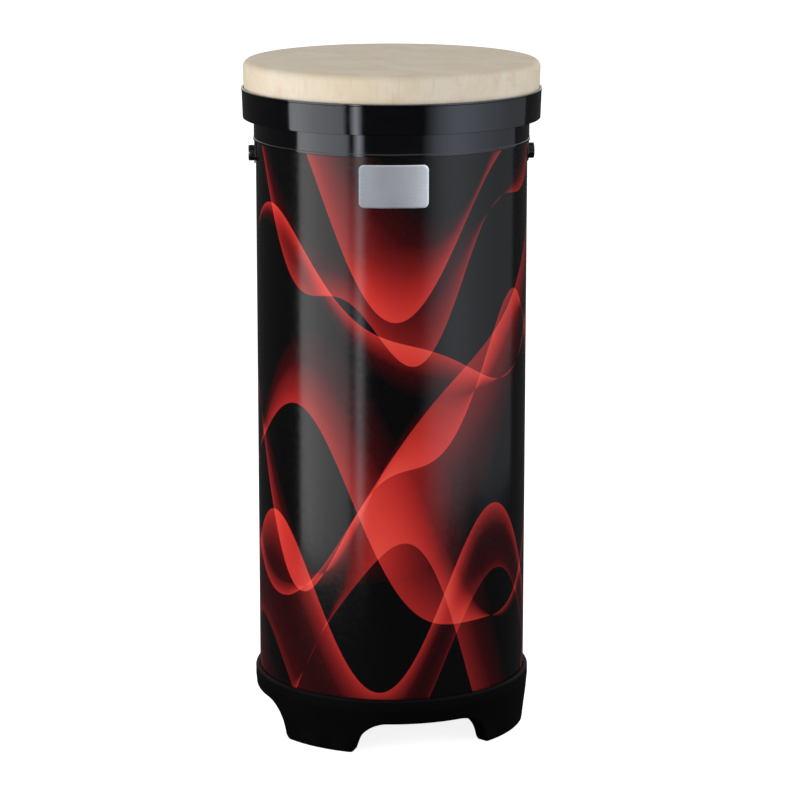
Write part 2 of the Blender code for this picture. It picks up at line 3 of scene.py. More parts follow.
import bmesh
import bpy
import numpy as np
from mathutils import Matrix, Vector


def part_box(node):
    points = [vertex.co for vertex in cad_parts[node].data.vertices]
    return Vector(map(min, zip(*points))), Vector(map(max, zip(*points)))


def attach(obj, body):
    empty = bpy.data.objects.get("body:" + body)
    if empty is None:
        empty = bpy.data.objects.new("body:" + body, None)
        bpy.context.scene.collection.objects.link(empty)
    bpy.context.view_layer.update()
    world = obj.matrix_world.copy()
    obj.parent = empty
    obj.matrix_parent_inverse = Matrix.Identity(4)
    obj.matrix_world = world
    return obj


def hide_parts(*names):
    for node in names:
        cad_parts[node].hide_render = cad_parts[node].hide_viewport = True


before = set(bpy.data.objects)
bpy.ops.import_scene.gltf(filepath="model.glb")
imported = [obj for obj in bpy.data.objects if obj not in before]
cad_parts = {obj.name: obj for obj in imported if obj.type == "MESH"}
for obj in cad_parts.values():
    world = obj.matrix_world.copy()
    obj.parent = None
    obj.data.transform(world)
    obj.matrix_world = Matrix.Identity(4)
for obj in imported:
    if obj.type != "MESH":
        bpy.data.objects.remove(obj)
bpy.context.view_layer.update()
scene = bpy.context.scene
print("frame loaded,", len(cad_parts), "nodes")


def radiusOf(node):
    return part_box(node)[1].x


def bottomOf(node):
    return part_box(node)[0].z


def topOf(node):
    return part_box(node)[1].z


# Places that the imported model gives
shellRadius = radiusOf("shell")
filmRadius = radiusOf("print_film")
lockHeight = (bottomOf("knob_left") + topOf("knob_left")) / 2
lockAzimuths = {"left": -86.3, "right": 93.7}  # degrees

# Sizes that several pieces share
gap = 0.0003      # glue line or touching clearance
rounds = dict(slight=0.0002, fine=0.0003, soft=0.0004, eased=0.0006, broad=0.0008)  # edge radii
easeShare = 0.3   # an eased edge's middle row lies this share of the ease in from both faces
wholeTurn = 2 * math.pi
fullTurn = np.linspace(0, wholeTurn, 360, endpoint=False)
sharpAngle = 35   # degrees between two faces, above which their edge isn't smoothed


# Grids and outlines
def unit(vectors):
    return vectors / np.linalg.norm(vectors, axis=-1, keepdims=True)


def rounded(corners, steps):
    # Outline with corners (across, up, radius), each a number or an array with a value for each
    # column. An arc's centre lies on its corner's bisector, radius / sin(half the corner's angle)
    # from the corner.
    columns = max(np.size(part) for corner in corners for part in corner[:2])
    spots = [np.stack(np.broadcast_arrays(across, up), -1) for across, up, _ in corners]
    spots = [np.broadcast_to(spot, (columns, 2)).astype(float) for spot in spots]
    rows = []
    for index, (_, _, radius) in enumerate(corners):
        spot = spots[index]
        if radius == 0:
            rows.append(spot[None])
            continue
        back = unit(spots[index - 1] - spot)
        ahead = unit(spots[(index + 1) % len(spots)] - spot)
        half = np.arccos((back * ahead).sum(-1, keepdims=True)) / 2
        turn = math.pi - 2 * half
        centre = spot + unit(back + ahead) * radius / np.sin(half)
        start = spot + back * radius / np.tan(half) - centre
        end = spot + ahead * radius / np.tan(half) - centre
        share = np.linspace(0, 1, steps + 1)[:, None, None]
        swing = start * np.sin((1 - share) * turn) + end * np.sin(share * turn)
        rows.append(centre + swing / np.sin(turn))
    return np.concatenate(rows)


def spread(outline, longest, loop=True):
    # The same outline, with points added along every stretch that is longer than the length given
    rows = []
    after = np.roll(outline, -1, axis=0)
    for here, there in list(zip(outline, after))[:None if loop else -1]:
        count = max(1, math.ceil(np.linalg.norm(there - here, axis=-1).max() / longest))
        rows.append(here + (there - here) * np.arange(count)[:, None, None] / count)
    if not loop:
        rows.append(outline[-1:])
    return np.concatenate(rows)


def turned(outline, azimuth=fullTurn):
    # Carried round Z: (radius, height) goes to (radius sin azimuth, -radius cos azimuth, height)
    radius, height = outline[..., 0], outline[..., 1]
    x, y = radius * np.sin(azimuth), -radius * np.cos(azimuth)
    return np.stack([x, y, height + 0 * azimuth], -1)


def radial(side, up, out, azimuth, height, roll=0.0):
    # A shape beside the shell: side runs along the tangent, up along Z and out away from the
    # axis, after side and up have turned by roll
    angle, lean = math.radians(azimuth), math.radians(roll)
    across = side * math.cos(lean) - up * math.sin(lean)
    rise = side * math.sin(lean) + up * math.cos(lean)
    x = out * math.sin(angle) + across * math.cos(angle)
    y = -out * math.cos(angle) + across * math.sin(angle)
    return np.stack(np.broadcast_arrays(x, y, height + rise), -1)


def bent(side, up, out, azimuth, height):
    # A shape that follows the shell: side is a length along the circle of radius out
    angle = math.radians(azimuth) + side / out
    x, y = out * np.sin(angle), -out * np.cos(angle)
    return np.stack(np.broadcast_arrays(x, y, height + up), -1)


def makePiece(name, grids, material, body, *nodes):
    # One object from grids of points. A grid's columns run round; its rows do too if loop is
    # set, and otherwise its first and last row each close on a centre point.
    spots, faces, first = [], [], 0
    for points, loop in grids:
        rows, columns = points.shape[:2]
        index = np.arange(rows * columns).reshape(rows, columns) + first
        low = index if loop else index[:-1]
        high = np.roll(index, -1, axis=0) if loop else index[1:]
        quads = np.stack([low, np.roll(low, -1, axis=1), np.roll(high, -1, axis=1), high], -1)
        faces += quads.reshape(-1, 4).tolist()
        spots.append(points.reshape(-1, 3))
        first += rows * columns
        if not loop:
            for ring, edge in ((index[0], points[0]), (index[-1], points[-1])):
                spots.append(edge.mean(0, keepdims=True))
                fan = np.stack([ring, np.roll(ring, -1), np.full(columns, first)], -1)
                faces += fan.tolist()
                first += 1
    mesh = bpy.data.meshes.new(name)
    mesh.from_pydata(np.concatenate(spots).tolist(), [], faces)
    bm = bmesh.new()
    bm.from_mesh(mesh)
    bmesh.ops.recalc_face_normals(bm, faces=bm.faces)
    bm.to_mesh(mesh)
    bm.free()
    mesh.materials.append(finishes[material])
    mesh.shade_smooth()
    mesh.set_sharp_from_angle(angle=math.radians(sharpAngle))
    piece = bpy.data.objects.new(name, mesh)
    scene.collection.objects.link(piece)
    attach(piece, body)
    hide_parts(*nodes)


# Shader trees
def wire(tree, socket, value):
    # An output is linked to the socket; a number or a colour is set on it
    if isinstance(value, bpy.types.NodeSocket):
        tree.links.new(value, socket)
    elif socket.type == "RGBA":
        socket.default_value = (*value, 1.0)
    else:
        socket.default_value = value


def node(tree, kind, inputs, **settings):
    # A node with its settings, and with what feeds its inputs, each by name or number
    made = tree.nodes.new("ShaderNode" + kind)
    for label, value in settings.items():
        setattr(made, label, value)
    for label, value in inputs.items():
        wire(tree, made.inputs[label], value)
    return made


def calc(tree, operation, *values, clamp=False):
    # The output of a Math node
    inputs = dict(enumerate(values))
    return node(tree, "Math", inputs, operation=operation, use_clamp=clamp).outputs[0]


def levels(tree, value, low, high, start=0.0, end=1.0):
    # The value's stretch from low to high becomes start to end, and is held there beyond it
    inputs = {"Value": value, "From Min": low, "From Max": high, "To Min": start, "To Max": end}
    return node(tree, "MapRange", inputs).outputs["Result"]


def mixed(tree, factor, first, second):
    # Inputs 6 and 7 and output 2 are the colour sockets of a Mix node
    return node(tree, "Mix", {0: factor, 6: first, 7: second}, data_type="RGBA").outputs[2]


def fillRamp(ramp, stops):
    # stops are (share, colour), in order, with the first at 0 and the last at 1
    elements = ramp.color_ramp.elements
    for share, colour in stops:
        stop = elements[0] if share == 0 else elements[-1] if share == 1 else elements.new(share)
        stop.color = (*colour, 1.0)
    return ramp.outputs["Color"]


def objectPlace(tree):
    # The three Object coordinates, by name
    place = node(tree, "TexCoord", {}).outputs["Object"]
    return node(tree, "SeparateXYZ", {0: place}).outputs


def scaledPlace(tree, scale):
    # Object coordinates, each times its own scale
    place = node(tree, "TexCoord", {}).outputs["Object"]
    return node(tree, "VectorMath", {0: place, 1: scale}, operation="MULTIPLY").outputs[0]


def newGroup(name, inputs, output):
    # inputs are {label: starting value}; a value of three numbers makes a vector socket
    group = bpy.data.node_groups.new(name, "ShaderNodeTree")
    for label, value in inputs.items():
        kind = "NodeSocketVector" if isinstance(value, tuple) else "NodeSocketFloat"
        socket = group.interface.new_socket(label, in_out="INPUT", socket_type=kind)
        socket.default_value = value
    group.interface.new_socket(output, in_out="OUTPUT", socket_type="NodeSocketFloat")
    given, result = group.nodes.new("NodeGroupInput"), group.nodes.new("NodeGroupOutput")
    return group, given.outputs, result.inputs


def placed(tree, group, **inputs):
    # A group in a tree, with its values; returns its only output
    made = node(tree, "Group", {}, node_tree=group)
    for label, value in inputs.items():
        wire(tree, made.inputs[label], value)
    return made.outputs[0]


def makeGrain():
    # Layered noise, stretched by a scale along each axis; it spreads round 0.5
    names = {"Scale": (100.0, 100.0, 100.0), "Detail": 3.0, "Warp": 0.0}
    group, given, result = newGroup("grain", names, "Value")
    noise = node(group, "TexNoise", {
        "Vector": scaledPlace(group, given["Scale"]), "Scale": 1.0, "Roughness": 0.6,
        "Detail": given["Detail"], "Distortion": given["Warp"],
    })
    wire(group, result["Value"], noise.outputs[0])
    return group


def makeFlecks():
    # Small marks: cells whose centre is nearer than the given size, a share of them picked at
    # random by their own colour
    names = {"Scale": (100.0, 100.0, 100.0), "Size": 0.2, "Share": 0.5}
    group, given, result = newGroup("flecks", names, "Mask")
    spot = scaledPlace(group, given["Scale"])
    cells = node(group, "TexVoronoi", {"Vector": spot, "Scale": 1.0}).outputs
    near = calc(group, "LESS_THAN", cells["Distance"], given["Size"])
    pick = node(group, "SeparateColor", {0: cells["Color"]}).outputs[0]
    chosen = calc(group, "LESS_THAN", pick, given["Share"])
    wire(group, result["Mask"], calc(group, "MULTIPLY", near, chosen))
    return group


waveLabels = ("Base", "Swing", "Turns", "Phase", "Ripple", "Ripples", "Start")


def makeWaveLine():
    # Height of a line round the shell: base + swing sin(turns azimuth + phase)
    # + ripple sin(ripples azimuth + start). Whole numbers of turns make it meet itself at the back.
    names = dict.fromkeys(("Azimuth", *waveLabels), 0.0)
    group, given, result = newGroup("waveLine", names, "Height")
    height = given["Base"]
    for swing, turns, phase in (("Swing", "Turns", "Phase"), ("Ripple", "Ripples", "Start")):
        angle = calc(group, "MULTIPLY_ADD", given["Azimuth"], given[turns], given[phase])
        height = calc(group, "MULTIPLY_ADD", calc(group, "SINE", angle), given[swing], height)
    wire(group, result["Height"], height)
    return group


def makeVeil():
    # A sheer veil between two lines. Across it, t runs from 0 at the near line to 1 at the far
    # one, and its density is (1 - t)^fade, or |2t - 1|^fade where it is hollow. Where the lines
    # cross, it twists.
    names = {"Height": 0.0, "Near": 0.0, "Far": 0.1, "Strength": 0.5, "Fade": 1.2, "Hollow": 0.0,
             "Soft": 0.0007, "Floor": 0.03}
    group, given, result = newGroup("veil", names, "Density")
    span = calc(group, "SUBTRACT", given["Far"], given["Near"])
    across = calc(group, "DIVIDE", calc(group, "SUBTRACT", given["Height"], given["Near"]), span)
    left = calc(group, "SUBTRACT", 1.0, across)
    sharpness = calc(group, "DIVIDE", calc(group, "ABSOLUTE", span), given["Soft"])
    mask = calc(group, "MULTIPLY", calc(group, "MULTIPLY", across, sharpness, clamp=True),
                calc(group, "MULTIPLY", left, sharpness, clamp=True))
    solid = calc(group, "POWER", calc(group, "MAXIMUM", left, 0.0), given["Fade"])
    edges = calc(group, "ABSOLUTE", calc(group, "SUBTRACT", left, across))
    hollow = calc(group, "POWER", edges, given["Fade"])
    change = calc(group, "SUBTRACT", hollow, solid)
    shade = calc(group, "MULTIPLY_ADD", change, given["Hollow"], solid)
    rest = calc(group, "SUBTRACT", 1.0, given["Floor"])
    full = calc(group, "MULTIPLY_ADD", rest, shade, given["Floor"])
    density = calc(group, "MULTIPLY", calc(group, "MULTIPLY", full, mask), given["Strength"])
    wire(group, result["Density"], density)
    return group


grain = makeGrain()
flecks = makeFlecks()
waveLine = makeWaveLine()
veil = makeVeil()


# Finishes. A noise has a scale along X, Y and Z, a detail and a warp. A span is the stretch of a
# noise's value over which a tone goes from its first end to its second, and a share is how much
# of the tones below it covers at most. A relief is the bump's depth in metres.
def newMaterial(name, colour, sockets):
    # A Principled material with the constants set on the shader's own sockets
    material = bpy.data.materials.new(name)
    material.use_nodes = True
    material.diffuse_color = (*colour, 1.0)
    tree = material.node_tree
    shader = tree.nodes["Principled BSDF"].inputs
    wire(tree, shader["Base Color"], colour)
    for label, value in sockets.items():
        wire(tree, shader[label], value)
    return material, tree, shader


def setSurface(tree, shader, look, colour, noise, height):
    # Base colour, roughness that follows a noise over the look's span, and relief
    wire(tree, shader["Base Color"], colour)
    roughness = levels(tree, noise, *look["roughSpan"], *look["roughness"])
    wire(tree, shader["Roughness"], roughness)
    bump = node(tree, "Bump", {"Height": height, "Distance": look["relief"]})
    wire(tree, shader["Normal"], bump.outputs["Normal"])


blackGloss = dict(
    colour=(0.0006, 0.0006, 0.0012), worn=(0.0020, 0.0020, 0.0030), ior=1.7,
    tint=(0.90, 0.92, 1.0), haze=dict(Scale=(22.0, 22.0, 60.0), Detail=4.0), wornSpan=(0.5, 0.8),
    roughness=(0.05, 0.11), roughSpan=(0.35, 0.7),
    rings=dict(Scale=(6.0, 6.0, 1700.0), Detail=2.0), relief=0.000012,
)


def makeBlackGloss():
    # Moulded plastic: very fine rings from turning the tool, faint hazy patches
    look = blackGloss
    sockets = {"IOR": look["ior"], "Specular Tint": look["tint"]}
    material, tree, shader = newMaterial("blackGloss", look["colour"], sockets)
    haze = placed(tree, grain, **look["haze"])
    worn = levels(tree, haze, *look["wornSpan"])
    colour = mixed(tree, worn, look["colour"], look["worn"])
    setSurface(tree, shader, look, colour, haze, placed(tree, grain, **look["rings"]))
    return material


blackSatin = dict(
    colour=(0.002, 0.002, 0.002), dark=(0.001, 0.001, 0.001), light=(0.004, 0.004, 0.004),
    ior=1.4, grit=dict(Scale=(900.0, 900.0, 900.0), Detail=3.0),
    roughness=(0.32, 0.44), roughSpan=(0.3, 0.7), relief=0.00004,
)


def makeBlackSatin():
    # Fine moulded grit
    look = blackSatin
    material, tree, shader = newMaterial("blackSatin", look["colour"], {"IOR": look["ior"]})
    grit = placed(tree, grain, **look["grit"])
    setSurface(tree, shader, look, mixed(tree, grit, look["dark"], look["light"]), grit, grit)
    return material


rubber = dict(
    colour=(0.0008, 0.0008, 0.0011), dusty=(0.0030, 0.0030, 0.0031), dustTop=0.022, ior=1.14,
    pits=dict(Scale=(1300.0, 1300.0, 1300.0), Detail=2.0),
    cloud=dict(Scale=(38.0, 38.0, 38.0), Detail=5.0), dustSpan=(0.45, 0.75), cloudRelief=0.5,
    roughness=(0.52, 0.68), roughSpan=(0.3, 0.7), relief=0.00006,
)


def makeRubber():
    # Moulded rubber: fine pitted skin, a little dust low on the feet
    look = rubber
    material, tree, shader = newMaterial("footRubber", look["colour"], {"IOR": look["ior"]})
    pits = placed(tree, grain, **look["pits"])
    cloud = placed(tree, grain, **look["cloud"])
    low = levels(tree, objectPlace(tree)["Z"], 0.0, look["dustTop"], 1.0, 0.0)
    dust = calc(tree, "MULTIPLY", low, levels(tree, cloud, *look["dustSpan"]))
    height = calc(tree, "MULTIPLY_ADD", cloud, look["cloudRelief"], pits)
    colour = mixed(tree, dust, look["colour"], look["dusty"])
    setSurface(tree, shader, look, colour, cloud, height)
    return material


drumSkin = dict(
    side=(0.74, 0.62, 0.46), fleck=(0.45, 0.36, 0.26), ior=1.4,
    # tones laid over the side's: colour, noise, span, share
    tones=(
        ((0.79, 0.70, 0.56), dict(Scale=(26.0, 26.0, 34.0), Detail=5.0, Warp=0.6),
         (0.38, 0.66), 1.0),
        ((0.70, 0.52, 0.38), dict(Scale=(47.0, 47.0, 62.0), Detail=4.0, Warp=0.4),
         (0.55, 0.78), 0.65),
        ((0.73, 0.60, 0.39), dict(Scale=(15.0, 17.0, 30.0), Detail=3.0), (0.52, 0.72), 0.45),
    ),
    fibres=dict(Scale=(420.0, 420.0, 34.0), Detail=4.0, Warp=0.3),
    felt=dict(Scale=(230.0, 520.0, 260.0), Detail=4.0, Warp=1.2), feltFrom=0.003, feltFull=0.0006,
    threadSpan=(0.55, 0.75), threadShare=0.26,
    specks=dict(Scale=(420.0, 420.0, 300.0), Size=0.17, Share=0.16), speckShare=0.45,
    roughness=(0.50, 0.66), roughSpan=(0.3, 0.7), relief=0.00008,
)


def makeDrumSkin():
    # Fibrous skin: broad pale, pinkish and yellowish clouds, fibres that run down the side and
    # lie felted on the top, small dark flecks
    look = drumSkin
    material, tree, shader = newMaterial("drumSkin", look["side"], {"IOR": look["ior"]})
    fibres = placed(tree, grain, **look["fibres"])
    felt = placed(tree, grain, **look["felt"])
    top = topOf("head_skin")
    onTop = levels(tree, objectPlace(tree)["Z"], top - look["feltFrom"], top - look["feltFull"])
    threads = calc(tree, "MULTIPLY_ADD", calc(tree, "SUBTRACT", felt, fibres), onTop, fibres)
    colour = look["side"]
    for tone, noise, span, share in look["tones"]:
        colour = mixed(tree, levels(tree, placed(tree, grain, **noise), *span, 0.0, share),
                       colour, tone)
    thick = levels(tree, threads, *look["threadSpan"], 0.0, look["threadShare"])
    colour = mixed(tree, thick, colour, look["fleck"])
    specks = placed(tree, flecks, **look["specks"])
    speckled = calc(tree, "MULTIPLY", specks, look["speckShare"])
    colour = mixed(tree, speckled, colour, look["fleck"])
    setSurface(tree, shader, look, colour, threads, threads)
    return material


printed = dict(
    # near line and far line, each as waveLabels name its numbers, then strength, fade, hollow
    veils=(
        ((0.094, 0.095, 3, 1.64, 0.017, 6, 5.94), (0.150, 0.101, 3, 0.85, 0.038, 2, 1.80),
         0.53, 1.3, 0.0),
        ((0.136, 0.056, 3, 5.11, 0.025, 4, 4.88), (0.052, 0.070, 3, 5.17, 0.033, 2, 6.23),
         0.73, 1.7, 0.5),
        ((0.196, 0.099, 2, 3.44, 0.016, 5, 4.64), (0.238, 0.090, 2, 2.76, 0.039, 2, 2.86),
         0.68, 1.1, 0.0),
        ((0.264, 0.099, 2, 5.83, 0.034, 5, 2.33), (0.275, 0.087, 2, 5.88, 0.031, 5, 1.01),
         0.67, 1.0, 0.0),
        ((0.333, 0.177, 1, 5.70, 0.027, 3, 1.18), (0.326, 0.202, 1, 5.16, 0.023, 3, 2.67),
         0.61, 1.0, 0.0),
        ((0.385, 0.066, 2, 3.47, 0.022, 4, 6.20), (0.362, 0.076, 2, 3.48, 0.028, 3, 5.76),
         0.80, 1.5, 0.0),
        ((0.437, 0.081, 2, 4.79, 0.025, 6, 3.36), (0.488, 0.080, 2, 4.59, 0.034, 3, 1.14),
         0.65, 1.4, 0.0),
        ((0.488, 0.080, 2, 4.45, 0.034, 4, 4.83), (0.558, 0.073, 2, 4.15, 0.024, 4, 3.01),
         0.68, 1.1, 0.0),
    ),
    # the veils' summed density and the ink that it gives
    inks=((0.0, (0.0012, 0.0012, 0.0016)), (0.25, (0.040, 0.001, 0.002)),
          (0.5, (0.200, 0.008, 0.008)), (0.8, (0.475, 0.022, 0.018)),
          (1.1, (0.690, 0.044, 0.033)), (1.6, (0.830, 0.095, 0.060))),
    ior=1.45, peel=dict(Scale=(240.0, 240.0, 240.0), Detail=2.0),
    overlap=0.05, overlapEdge=0.002,  # the film's step: place and width, in radians from the back
    overlapRise=4.0,                  # its height, in reliefs
    roughness=(0.14, 0.19), roughSpan=(0.35, 0.65), relief=0.00002,
)


def makePrintedFilm():
    # Sheer red veils, whose densities add up and then choose the ink. The film's ends overlap at
    # the back, as a low step.
    look = printed
    inks = look["inks"]
    material, tree, shader = newMaterial("printedFilm", inks[0][1], {"IOR": look["ior"]})
    place = objectPlace(tree)
    azimuth = calc(tree, "ARCTAN2", place["X"], calc(tree, "MULTIPLY", place["Y"], -1.0))
    density = 0.0
    for *lines, strength, fade, hollow in look["veils"]:
        near, far = (placed(tree, waveLine, Azimuth=azimuth, **dict(zip(waveLabels, line)))
                     for line in lines)
        sheer = placed(tree, veil, Height=place["Z"], Near=near, Far=far, Strength=strength,
                       Fade=fade, Hollow=hollow)
        density = calc(tree, "ADD", sheer, density)
    densest = inks[-1][0]
    ramp = node(tree, "ValToRGB", {0: calc(tree, "DIVIDE", density, densest)})
    colour = fillRamp(ramp, [(amount / densest, ink) for amount, ink in inks])
    peel = placed(tree, grain, **look["peel"])
    fromBack = calc(tree, "SUBTRACT", math.pi, calc(tree, "ABSOLUTE", azimuth))
    step = levels(tree, fromBack, look["overlap"], look["overlap"] + look["overlapEdge"],
                  look["overlapRise"], 0.0)
    setSurface(tree, shader, look, colour, peel, calc(tree, "ADD", peel, step))
    return material


plateMetal = dict(
    # left and right are the ends of a painted reflection: dark at the plate's left end, light at
    # its right
    left=(0.25, 0.27, 0.31), right=(0.74, 0.76, 0.80), scratch=(0.48, 0.50, 0.54),
    reach=0.028, paintedReflectionEnds=(-0.15, 0.85), drift=dict(Scale=(30.0, 30.0, 24.0), Detail=1.0),
    driftShare=0.3, scratches=dict(Scale=(90.0, 90.0, 5200.0), Detail=3.0),
    scratchSpan=(0.45, 0.75), scratchShare=0.5,
    roughness=(0.38, 0.48), roughSpan=(0.3, 0.7), relief=0.00001,
)


def makeBrushedPlate():
    # Brushed sheet metal: short level scratches, a slow drift of tone, and a painted reflection
    # from dark at the left end to light at the right
    look = plateMetal
    material, tree, shader = newMaterial("brushedPlate", look["right"], {"Metallic": 1.0})
    scratches = placed(tree, grain, **look["scratches"])
    drift = placed(tree, grain, **look["drift"])
    reach = look["reach"]
    # Painted reflection: the colour runs from left to right across the plate, standing in for the
    # lamps mirrored in the metal
    along = levels(tree, objectPlace(tree)["X"], -reach, reach, *look["paintedReflectionEnds"])
    tone = calc(tree, "MULTIPLY_ADD", drift, look["driftShare"], along, clamp=True)
    colour = mixed(tree, tone, look["left"], look["right"])
    scratched = levels(tree, scratches, *look["scratchSpan"], 0.0, look["scratchShare"])
    colour = mixed(tree, scratched, colour, look["scratch"])
    setSurface(tree, shader, look, colour, scratches, scratches)
    return material


innerNoise = dict(Detail=5.0, Warp=0.4)
innerSpans = dict(toneSpan=(0.35, 0.65), roughSpan=(0.3, 0.7))
innerFinishes = {
    "seatRubber": dict(dark=(0.02, 0.02, 0.02), light=(0.04, 0.04, 0.04), metallic=0.0,
                       scale=(500, 500, 500), roughness=(0.62, 0.78), relief=0.00003),
    "shellFibre": dict(dark=(0.20, 0.14, 0.09), light=(0.33, 0.25, 0.17), metallic=0.0,
                       scale=(60, 60, 420), roughness=(0.72, 0.88), relief=0.00008),
    "rimFibre": dict(dark=(0.30, 0.20, 0.12), light=(0.46, 0.34, 0.21), metallic=0.0,
                     scale=(50, 50, 500), roughness=(0.67, 0.83), relief=0.00008),
    "baffleBoard": dict(dark=(0.19, 0.14, 0.10), light=(0.34, 0.27, 0.19), metallic=0.0,
                        scale=(700, 700, 700), roughness=(0.72, 0.88), relief=0.0001),
    "portPlastic": dict(dark=(0.010, 0.010, 0.010), light=(0.022, 0.022, 0.022), metallic=0.0,
                        scale=(900, 900, 900), roughness=(0.37, 0.53), relief=0.00003),
    "zincSteel": dict(dark=(0.48, 0.48, 0.46), light=(0.66, 0.66, 0.63), metallic=1.0,
                      scale=(260, 260, 260), roughness=(0.28, 0.44), relief=0.00001),
    "padFoam": dict(dark=(0.03, 0.03, 0.03), light=(0.07, 0.07, 0.07), metallic=0.0,
                    scale=(1200, 1200, 1200), roughness=(0.82, 0.98), relief=0.0002),
}


def makeInner(name, look):
    # A grained finish between two tones, for the inner pieces
    sockets = {"Metallic": look["metallic"]}
    material, tree, shader = newMaterial(name, look["dark"], sockets)
    value = placed(tree, grain, Scale=look["scale"], **innerNoise)
    tone = levels(tree, value, *innerSpans["toneSpan"])
    colour = mixed(tree, tone, look["dark"], look["light"])
    setSurface(tree, shader, innerSpans | look, colour, value, value)
    return material


finishes = {
    "blackGloss": makeBlackGloss(),
    "blackSatin": makeBlackSatin(),
    "footRubber": makeRubber(),
    "drumSkin": makeDrumSkin(),
    "printedFilm": makePrintedFilm(),
    "brushedPlate": makeBrushedPlate(),
}
for label, look in innerFinishes.items():
    finishes[label] = makeInner(label, look)
print("finishes made:", ", ".join(finishes))


# Foot ring
foot = dict(
    lipHeight=0.0497, lipWall=0.0042, lipRound=0.0022, grooveDepth=0.0024, grooveGap=0.00035,
    bulgeHeight=0.040, taper=0.0037, soleWidth=0.0122, edgeRound=0.0028, soleRound=0.0020,
    innerWall=0.0042, shoulderRise=0.006, innerBevel=0.001,
    archAzimuth=14.2, archFootRound=0.0044, footLength=0.0720,
    # height, half width at the floor, lean from upright in degrees, radius of the upper corners
    frontArch=(0.0275, 0.0650, 21.3, 0.0305), sideArch=(0.0305, 0.0650, 12.5, 0.0275),
    archSpacing=0.0016, spacing=0.0024,
)


def archLine():
    # Azimuths of the columns round the ring, and the height of its underside at each. The line is
    # flat over an arch, leans down its side and runs along the floor, with arcs at both bends.
    size = foot
    bulge = shellRadius + gap + size["lipWall"]
    front, side, length = size["frontArch"], size["sideArch"], size["footLength"]
    halfWay = math.pi * bulge
    sidePlace = front[1] + length + side[1]
    back = (front[0], halfWay - sidePlace - side[1] - length, *front[2:])
    arches = ((0.0, front), (sidePlace, side), (halfWay, back), (2 * halfWay - sidePlace, side))
    azimuths, unders = [], []
    for centre, (height, halfWidth, lean, topRound) in arches:
        half = rounded([
            (0.0, height, 0),
            (halfWidth - height * math.tan(math.radians(lean)), height, topRound),
            (halfWidth, 0.0, size["archFootRound"]),
            (halfWidth + length / 2, 0.0, 0),
        ], steps=14)
        along, rise = spread(half, size["archSpacing"], loop=False)[:, 0].T
        bothWays = centre + np.concatenate([-along[:0:-1], along[:-1]])
        azimuths.append(math.radians(size["archAzimuth"]) + bothWays / bulge)
        unders.append(np.concatenate([rise[:0:-1], rise[:-1]]))
    return np.concatenate(azimuths), np.concatenate(unders)


def makeFootRing():
    # A closed section carried round Z, whose lower corners follow the arches' line
    size = foot
    azimuth, under = archLine()
    bulge = shellRadius + gap + size["lipWall"]
    channel, top = bottomOf("shell") - gap, topOf("foot_ring")
    channelOut, channelIn = shellRadius + gap, shellRadius - shell["wall"] - gap
    groove = filmRadius + size["grooveGap"]
    sole = bulge - size["taper"] - size["soleWidth"]
    wallIn = channelIn - size["innerWall"]
    lip, depth, bevel = size["lipHeight"], size["grooveDepth"], size["innerBevel"]
    section = rounded([
        (bulge - size["taper"] * (1 - under / size["bulgeHeight"]), under, size["edgeRound"]),
        (bulge, size["bulgeHeight"], 0),
        (bulge, lip, size["lipRound"]),
        (groove, lip, rounds["soft"]),
        (groove, lip - depth, 0),
        (channelOut, lip - depth - size["grooveGap"], 0),
        (channelOut, channel, 0),
        (channelIn, channel, 0),
        (channelIn, top - bevel, 0),
        (channelIn - bevel, top, 0),
        (wallIn, top, rounds["broad"]),
        (wallIn, channel + size["shoulderRise"], 0),
        (sole, channel, 0),
        (sole, under, size["soleRound"]),
    ], steps=6)
    grid = turned(spread(section, size["spacing"]), azimuth)
    makePiece("foot", [(grid, True)], "footRubber", "drum", "foot_ring")


# Shell and print
shell = dict(wall=0.005, topRound=0.0015, filmRound=0.0001, spacing=0.02)


def makeShell():
    # Plain turned sections: a tube with eased edges, and the film round it
    size = shell
    low, high = bottomOf("shell"), topOf("shell")
    inside = shellRadius - shell["wall"]
    tube = rounded([
        (inside, low, 0), (shellRadius, low, 0), (shellRadius, high, size["topRound"]),
        (inside, high, size["topRound"]),
    ], steps=5)
    grid = turned(spread(tube, size["spacing"]))
    makePiece("shell_tube", [(grid, True)], "shellFibre", "drum", "shell")
    low, high = bottomOf("print_film"), topOf("print_film")
    film = rounded([
        (shellRadius + gap, low, 0), (filmRadius, low, 0),
        (filmRadius, high, size["filmRound"]), (shellRadius + gap, high, 0),
    ], steps=3)
    grid = turned(spread(film, size["spacing"]))
    makePiece("shell_print", [(grid, True)], "printedFilm", "drum", "print_film")


# Port
port = dict(bore=0.030, wall=0.0025, rootRound=0.002, mouthRound=0.001,
            screwShank=0.0078,  # a flange screw's length below its head
            spacing=0.01)


def makePort():
    # Turned sections: a tube with a flange that the screws hold down, and the board round it
    size = port
    bore, mouth = size["bore"], size["mouthRound"]
    outside = bore + size["wall"]
    low, high = bottomOf("port_tube"), topOf("port_tube")
    flangeLow = topOf("port_baffle") + gap
    flangeHigh = bottomOf("port_screw_1") + size["screwShank"]
    flange = radiusOf("port_tube")
    tube = rounded([
        (bore, low, rounds["broad"]), (outside, low, rounds["fine"]), (outside, flangeLow, 0),
        (flange, flangeLow, rounds["fine"]), (flange, flangeHigh, mouth),
        (outside, flangeHigh, size["rootRound"]), (outside, high, mouth), (bore, high, mouth),
    ], steps=5)
    grid = turned(spread(tube, size["spacing"]))
    makePiece("port_pipe", [(grid, True)], "portPlastic", "drum", "port_tube")
    low, high = bottomOf("port_baffle"), topOf("port_baffle")
    edge = radiusOf("port_baffle")
    board = rounded([
        (outside + gap, low, 0), (edge, low, rounds["fine"]),
        (edge, high, rounds["fine"]), (outside + gap, high, 0),
    ], steps=3)
    grid = turned(spread(board, size["spacing"]))
    makePiece("port_board", [(grid, True)], "baffleBoard", "drum", "port_baffle")


